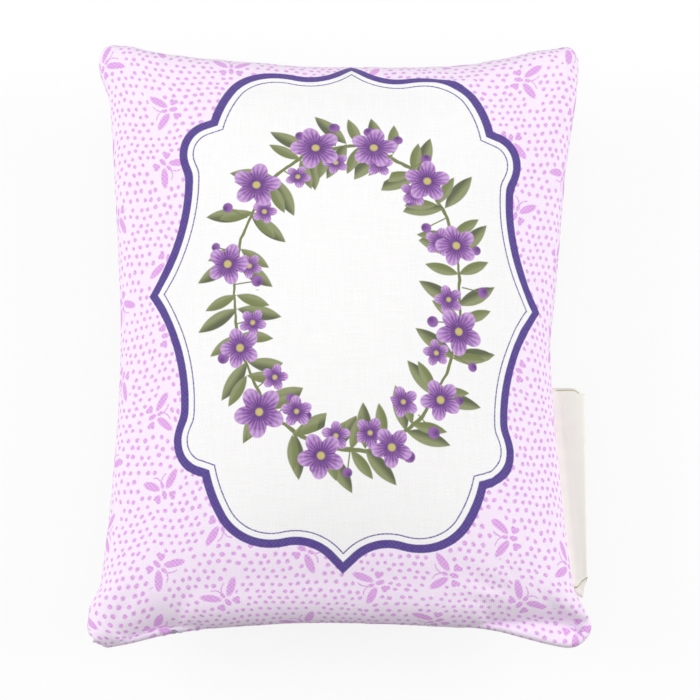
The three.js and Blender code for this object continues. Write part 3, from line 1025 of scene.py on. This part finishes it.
def straight_on(x, y, arc, degrees):
    """Distance from an arc that runs on straight, towards the middle, from where it has a given slope."""
    along, above = turned(x - arc[0], y - arc[1], math.radians(-degrees))
    return chosen(disc(x, y, arc), above - arc[2], calc("LESS_THAN", along, 0.0))


def frame_distance(x, y):
    """Distance from the scalloped frame's outer line, less than 0 inside it. One quarter, mirrored."""
    x, y = abs(x), abs(y)
    centre_x, centre_y, radius = FRAME_SHOULDER
    turn = math.radians(FRAME_FLANK_START)
    back = FRAME_FLANK_RADIUS - radius
    flank_arc = (centre_x - back * math.cos(turn), centre_y - back * math.sin(turn), FRAME_FLANK_RADIUS)
    on_flank = calc("LESS_THAN", turned(x - centre_x, y - centre_y, turn)[1], 0.0)
    shoulder = chosen(disc(x, y, FRAME_SHOULDER), disc(x, y, flank_arc), on_flank)
    rise = (FRAME_TOP_HOLLOW[0] - centre_x, FRAME_TOP_HOLLOW[1] - centre_y)
    apart = math.hypot(*rise)
    beyond = (x - centre_x) * (rise[1] / apart) - (y - centre_y) * (rise[0] / apart)
    hollow_radius = apart - radius
    slope = math.radians(-FRAME_TIP_SLOPE)
    along, above = turned(x - FRAME_TOP_HOLLOW[0], y - FRAME_TOP_HOLLOW[1], slope)
    hollow = -disc(x, y, (*FRAME_TOP_HOLLOW, hollow_radius))
    hollow = chosen(hollow, above + hollow_radius, calc("LESS_THAN", along, 0.0))
    top = chosen(shoulder, high(hollow, y - FRAME_TOP_HOLLOW[1]), calc("LESS_THAN", beyond, 0.0))
    ear = straight_on(x, y, FRAME_EAR, FRAME_EAR_SLOPE)
    side = calc("SMOOTH_MIN", -disc(x, y, FRAME_SIDE_HOLLOW), ear, FRAME_EASE)
    return low(top, chosen(side, ear, calc("GREATER_THAN", y, FRAME_EAR[1])))


def ring_cells(x, y, count, seed, wander):
    """Splits the wreath's ring into cells: the place along and across each, and its random numbers."""
    angle = calc("ARCTAN2", y / WREATH[1], x / WREATH[0])
    cell = calc("FLOOR", angle * (count / (2.0 * math.pi)) + seed * 0.37)
    middle = (cell + (0.5 - seed * 0.37)) * (2.0 * math.pi / count)
    draws = chance(cell, cell * 0.0 + 0.5, seed)
    c, s = calc("COSINE", middle), calc("SINE", middle)
    heading = calc("ARCTAN2", c * WREATH[1], s * -WREATH[0])
    u, v = turned(x - c * WREATH[0], y - s * WREATH[1], heading)
    return u + (draws[0] - 0.5) * wander, v + (draws[1] - 0.5) * wander, draws


def leaves(colour, x, y, count, seed, size, tone):
    """A leaf on either side of the ring in each cell, with a darker side and a midrib."""
    u, v, draws = ring_cells(x, y, count, seed, 1.6)
    side = abs(v)
    along, across = turned(u + size * 0.22, side, math.radians(63.0) + (draws[2] - 0.5) * 0.3)
    share = along / size
    half = (share - share * share) * (4.0 * 0.16 * size)
    outline = high(abs(across) - half, -along, along - size)
    rib = abs(across) - 0.1
    light = paint(LEAF_MID, tone, covered(across, 1.2))
    light = paint(light, STEM_INK, covered(rib, 0.2) * 0.7)
    return paint(colour, light, covered(outline, 0.25))


def berries(colour, x, y, count, seed):
    """A round bud on a short stalk in each cell, inside or outside the ring."""
    u, v, draws = ring_cells(x, y, count, seed, 1.5)
    flip = calc("SIGN", draws[2] - 0.5)
    v = v * flip
    stalk = high(abs(u + v * 0.15) - 0.16, -v, v - 5.0)
    bud = length(u + 0.8, v - 5.4) - (draws[0] * 0.4 + 1.05)
    colour = paint(colour, STEM_INK, covered(stalk))
    shade = paint(BLOSSOM_MID, BLOSSOM_DEEP, covered(length(u + 0.4, v - 5.9) - 0.7, 1.2))
    return paint(colour, shade, covered(bud, 0.25))


def blossoms(colour, x, y, count, seed, size, aside):
    """A five-petalled blossom in each cell, dark in its throat and pale at its rim."""
    u, v, draws = ring_cells(x, y, count, seed, 3.0)
    v = v - aside
    r = length(u, v)
    angle = calc("ARCTAN2", v, u) + draws[2] * 6.0
    lobes = abs(calc("COSINE", angle * 2.5))
    reach = (draws[0] * 0.25 + 0.9) * size
    outline = r - reach * (lobes * 0.42 + 0.58)
    vein = calc("COSINE", angle * 25.0) * 0.12
    share = r / reach + vein + (noise(x * 0.8, y * 0.8, seed) - 0.5) * 0.5
    petal = paint(BLOSSOM_DEEP, BLOSSOM_MID, calc("MULTIPLY_ADD", share, 3.0, -0.7, clamp=True))
    petal = paint(petal, BLOSSOM_PALE, calc("MULTIPLY_ADD", share, 2.4, -1.3, clamp=True))
    parting = covered(lobes * r - 0.3, 0.5) * covered(1.4 - r, 0.4)
    petal = paint(petal, BLOSSOM_DEEP, parting * 0.8)
    petal = paint(petal, EYE_INK, covered(r - size * 0.17, 0.4))
    return paint(colour, petal, covered(outline, 0.3))


def wreath(colour, x, y):
    ring = (length(x / WREATH[0], y / WREATH[1]) - 1.0) * 31.0
    stem = abs(ring + (noise(x / 7.0, y / 7.0, 50.0) - 0.5) * 2.5) - 0.4
    colour = paint(colour, STEM_INK, covered(stem))
    colour = leaves(colour, x, y, 19, 1.0, 11.0, LEAF_DARK)
    colour = leaves(colour, x, y, 23, 2.0, 8.5, STEM_INK)
    colour = berries(colour, x, y, 27, 3.0)
    colour = blossoms(colour, x, y, 15, 4.0, 3.4, 4.2)
    colour = blossoms(colour, x, y, 12, 5.0, 5.4, -1.0)
    return colour


def cotton(name, framed):
    """Printed plain-weave cotton, with the scalloped frame and the wreath or with the ground alone."""
    made = material(name, GROUND, 0.9, sheen=0.12)
    tree = made.node_tree
    x, y = panel_place(tree)
    height, over, tone = weave(x, y, THREAD_PITCH)
    soak = over * 0.4 + height * 0.15 + noise(x * 1.3, y * 1.3, 70.0) * 0.5 + 0.35
    colour = paint(GROUND, DOT_INK, calc("MULTIPLY", ground(x, y), soak, clamp=True))
    if framed:
        u, v = turned(x - PRINT_CENTRE[0], y - PRINT_CENTRE[1], math.radians(PRINT_TURN))
        v = v + u * PRINT_SKEW
        ragged = (noise(x * 2.2, y * 2.2, 60.0) - 0.5) * 0.12
        distance = frame_distance(u, v) + ragged
        colour = paint(colour, BAND_INK, covered(distance, 0.2) * (0.9 + soak * 0.08))
        colour = paint(colour, WHITE, covered(distance + FRAME_BAND, 0.2))
        line = abs(distance + FRAME_LINE[0]) - FRAME_LINE[1]
        colour = paint(colour, LINE_INK, calc("MULTIPLY", covered(line, 0.16), soak + 0.15, clamp=True))
        colour = wreath(colour, u, v)
    # Painted shade: the colour is darker where the weave lies low between threads, on top of each thread's
    # own random tone
    colour = shaded(colour, height * 0.07 + tone * 0.08 + 0.915)
    return clothed(made, colour, height + tone * 0.5, strength=0.35, depth=0.12)


def tape_cloth():
    """Ivory tape with fine ribs and a thin olive line at either end."""
    ivory = ink(248, 247, 238)
    made = material("tape", ivory, 0.75, sheen=0.1)
    tree = made.node_tree
    x, y = panel_place(tree)
    rib = calc("SINE", (x + y * 0.25) * (2.0 * math.pi / 0.45)) * 0.5 + 0.5
    wear = noise(x / 3.0, y / 3.0, 80.0)
    half_line = 0.14
    upper = high(abs(y - (TAG_TOP - 0.6)) - half_line, abs(x - 5.5) - 2.1)
    lower = high(abs(y - (TAG_BOTTOM + 0.15)) - half_line, abs(x - 6.0) - 3.1)
    line = low(upper, lower)
    colour = paint(ivory, ink(160, 158, 96), covered(line, 0.2) * 0.85)
    # Painted shade: the rib hollows are a little darker; the noise gives the tape's own uneven tone
    colour = shaded(colour, rib * 0.03 + wear * 0.05 + 0.95)
    return clothed(made, colour, rib, strength=0.3, depth=0.06)


def uneven_cloth(name, colour, roughness, grain, contrast):
    """A plain soft surface, mottled by noise over its own place."""
    made = material(name, colour, roughness, sheen=0.2)
    tree = made.node_tree
    x, y, z = parts(tree, tree.nodes.new("ShaderNodeTexCoord").outputs["Object"])
    scale = 1.0 / (grain * MM)
    fluff = noise(x * scale, y * scale, z * scale, 4.0)
    colour = shaded(colour, fluff * contrast + (1.0 - contrast / 2))
    return clothed(made, colour, fluff, strength=0.6, depth=grain * 0.3)


front_cover.data.materials.append(cotton("printed_cotton", True))
back_cover.data.materials.append(cotton("back_cotton", False))
tag.data.materials.append(tape_cloth())
thread = material("thread", ink(216, 196, 224), 0.6)
closing.data.materials.append(material("closing_thread", ink(232, 214, 238), 0.6))
# Painted shade: the knot is the stitches' own thread, painted darker grey for the shade in and around the
# knot
closing.data.materials.append(material("closing_knot_painted_shade", ink(158, 154, 176), 0.6))
for face in closing.data.polygons:
    if (face.center - knot_place).length < KNOT * MM:
        face.material_index = 1
fibre = uneven_cloth("fibre", ink(244, 243, 239), 0.95, 1.2, 0.12)
muslin = uneven_cloth("muslin", ink(238, 229, 208), 0.9, 0.4, 0.1)
threads = [piece for piece, _ in seam_threads] + pouch_threads
for pieces, cloth in ((threads, thread), (pads, fibre), (pouch, muslin)):
    for piece in pieces:
        piece.data.materials.append(cloth)
buds.data.materials.append(uneven_cloth("dried_buds", ink(116, 102, 142), 0.9, 0.5, 0.5))


# Studio

FLOOR_SEEN = (0.95, 0.95, 0.95)
FLOOR_BOUNCE = (0.45, 0.45, 0.45)  # the colour that throws light back at the object
FLOOR_GLOW = 0.85
SKY = 0.43  # light from all round


def seen_rays(tree):
    """1 for rays that show the background: from the camera, in a gloss or through glass."""
    path = tree.nodes.new("ShaderNodeLightPath")
    kinds = ("Is Camera Ray", "Is Glossy Ray", "Is Transmission Ray")
    return high(*(Field(tree, path.outputs[kind]) for kind in kinds))


def floor_paint():
    """Paint that the camera sees nearly white, with the object's shadow still on it."""
    made = material("floor", FLOOR_SEEN, 0.9)
    tree = made.node_tree
    glow = tree.nodes.new("ShaderNodeEmission")
    mix = tree.nodes.new("ShaderNodeMixShader")
    seen = seen_rays(tree)
    shader = tree.nodes["Principled BSDF"]
    tree.links.new(paint(FLOOR_BOUNCE, FLOOR_SEEN, seen), shader.inputs["Base Color"])
    wire(tree, mix.inputs[0], seen * FLOOR_GLOW)
    tree.links.new(shader.outputs[0], mix.inputs[1])
    tree.links.new(glow.outputs[0], mix.inputs[2])
    tree.links.new(mix.outputs[0], tree.nodes["Material Output"].inputs["Surface"])
    return made


floor_mesh = bpy.data.meshes.new("floor")
floor_mesh.from_pydata([(-3, -3, 0), (3, -3, 0), (3, 3, 0), (-3, 3, 0)], [], [(0, 1, 2, 3)])
floor = linked("floor", floor_mesh)
floor.data.materials.append(floor_paint())

scene.view_settings.view_transform = "Standard"
world = bpy.data.worlds.new("studio")
world.use_nodes = True
sky = world.node_tree.nodes["Background"]
sky.inputs["Color"].default_value = (1.0, 1.0, 1.0, 1.0)
wire(world.node_tree, sky.inputs["Strength"], seen_rays(world.node_tree) * (1.0 - SKY) + SKY)
scene.world = world


def area_light(name, place, size, power):
    lamp = bpy.data.lights.new(name, "AREA")
    lamp.energy = power
    lamp.size = size
    holder = bpy.data.objects.new(name, lamp)
    holder.location = place
    holder.rotation_euler = (Vector((0.0, 0.0, 0.03)) - Vector(place)).to_track_quat("-Z", "Y").to_euler()
    scene.collection.objects.link(holder)


area_light("left", (-0.8, 0.15, 0.5), 0.6, 5.4)
area_light("right", (0.8, 0.15, 0.5), 0.6, 5.0)
area_light("front", (0.0, -0.3, 1.0), 0.6, 1.0)

CAMERA_TILT = 13.0  # degrees from straight above, towards the pillow's lower edge
CAMERA_DISTANCE = 740.0
PIXELS_PER_MM = 4.032  # in the seam's plane, at the middle of the picture
IMAGE_SIZE = 700.0
CENTRE_PIXEL = (339.35, 341.1)  # where the middle of the seam's plane falls in the picture
tilt = math.radians(CAMERA_TILT)
camera_data = bpy.data.cameras.new("camera")
camera_data.sensor_width = 36.0
camera_data.lens = 36.0 * PIXELS_PER_MM * CAMERA_DISTANCE / IMAGE_SIZE
camera_data.shift_x = (IMAGE_SIZE / 2 - CENTRE_PIXEL[0]) / IMAGE_SIZE
camera_data.shift_y = (CENTRE_PIXEL[1] - IMAGE_SIZE / 2) / IMAGE_SIZE
camera = bpy.data.objects.new("camera", camera_data)
aim = Vector((0.0, 0.0, SEAM_Z))
camera.location = (aim + Vector((0.0, -math.sin(tilt), math.cos(tilt))) * CAMERA_DISTANCE) * MM
camera.rotation_euler = (tilt, 0.0, 0.0)
scene.collection.objects.link(camera)
scene.camera = camera
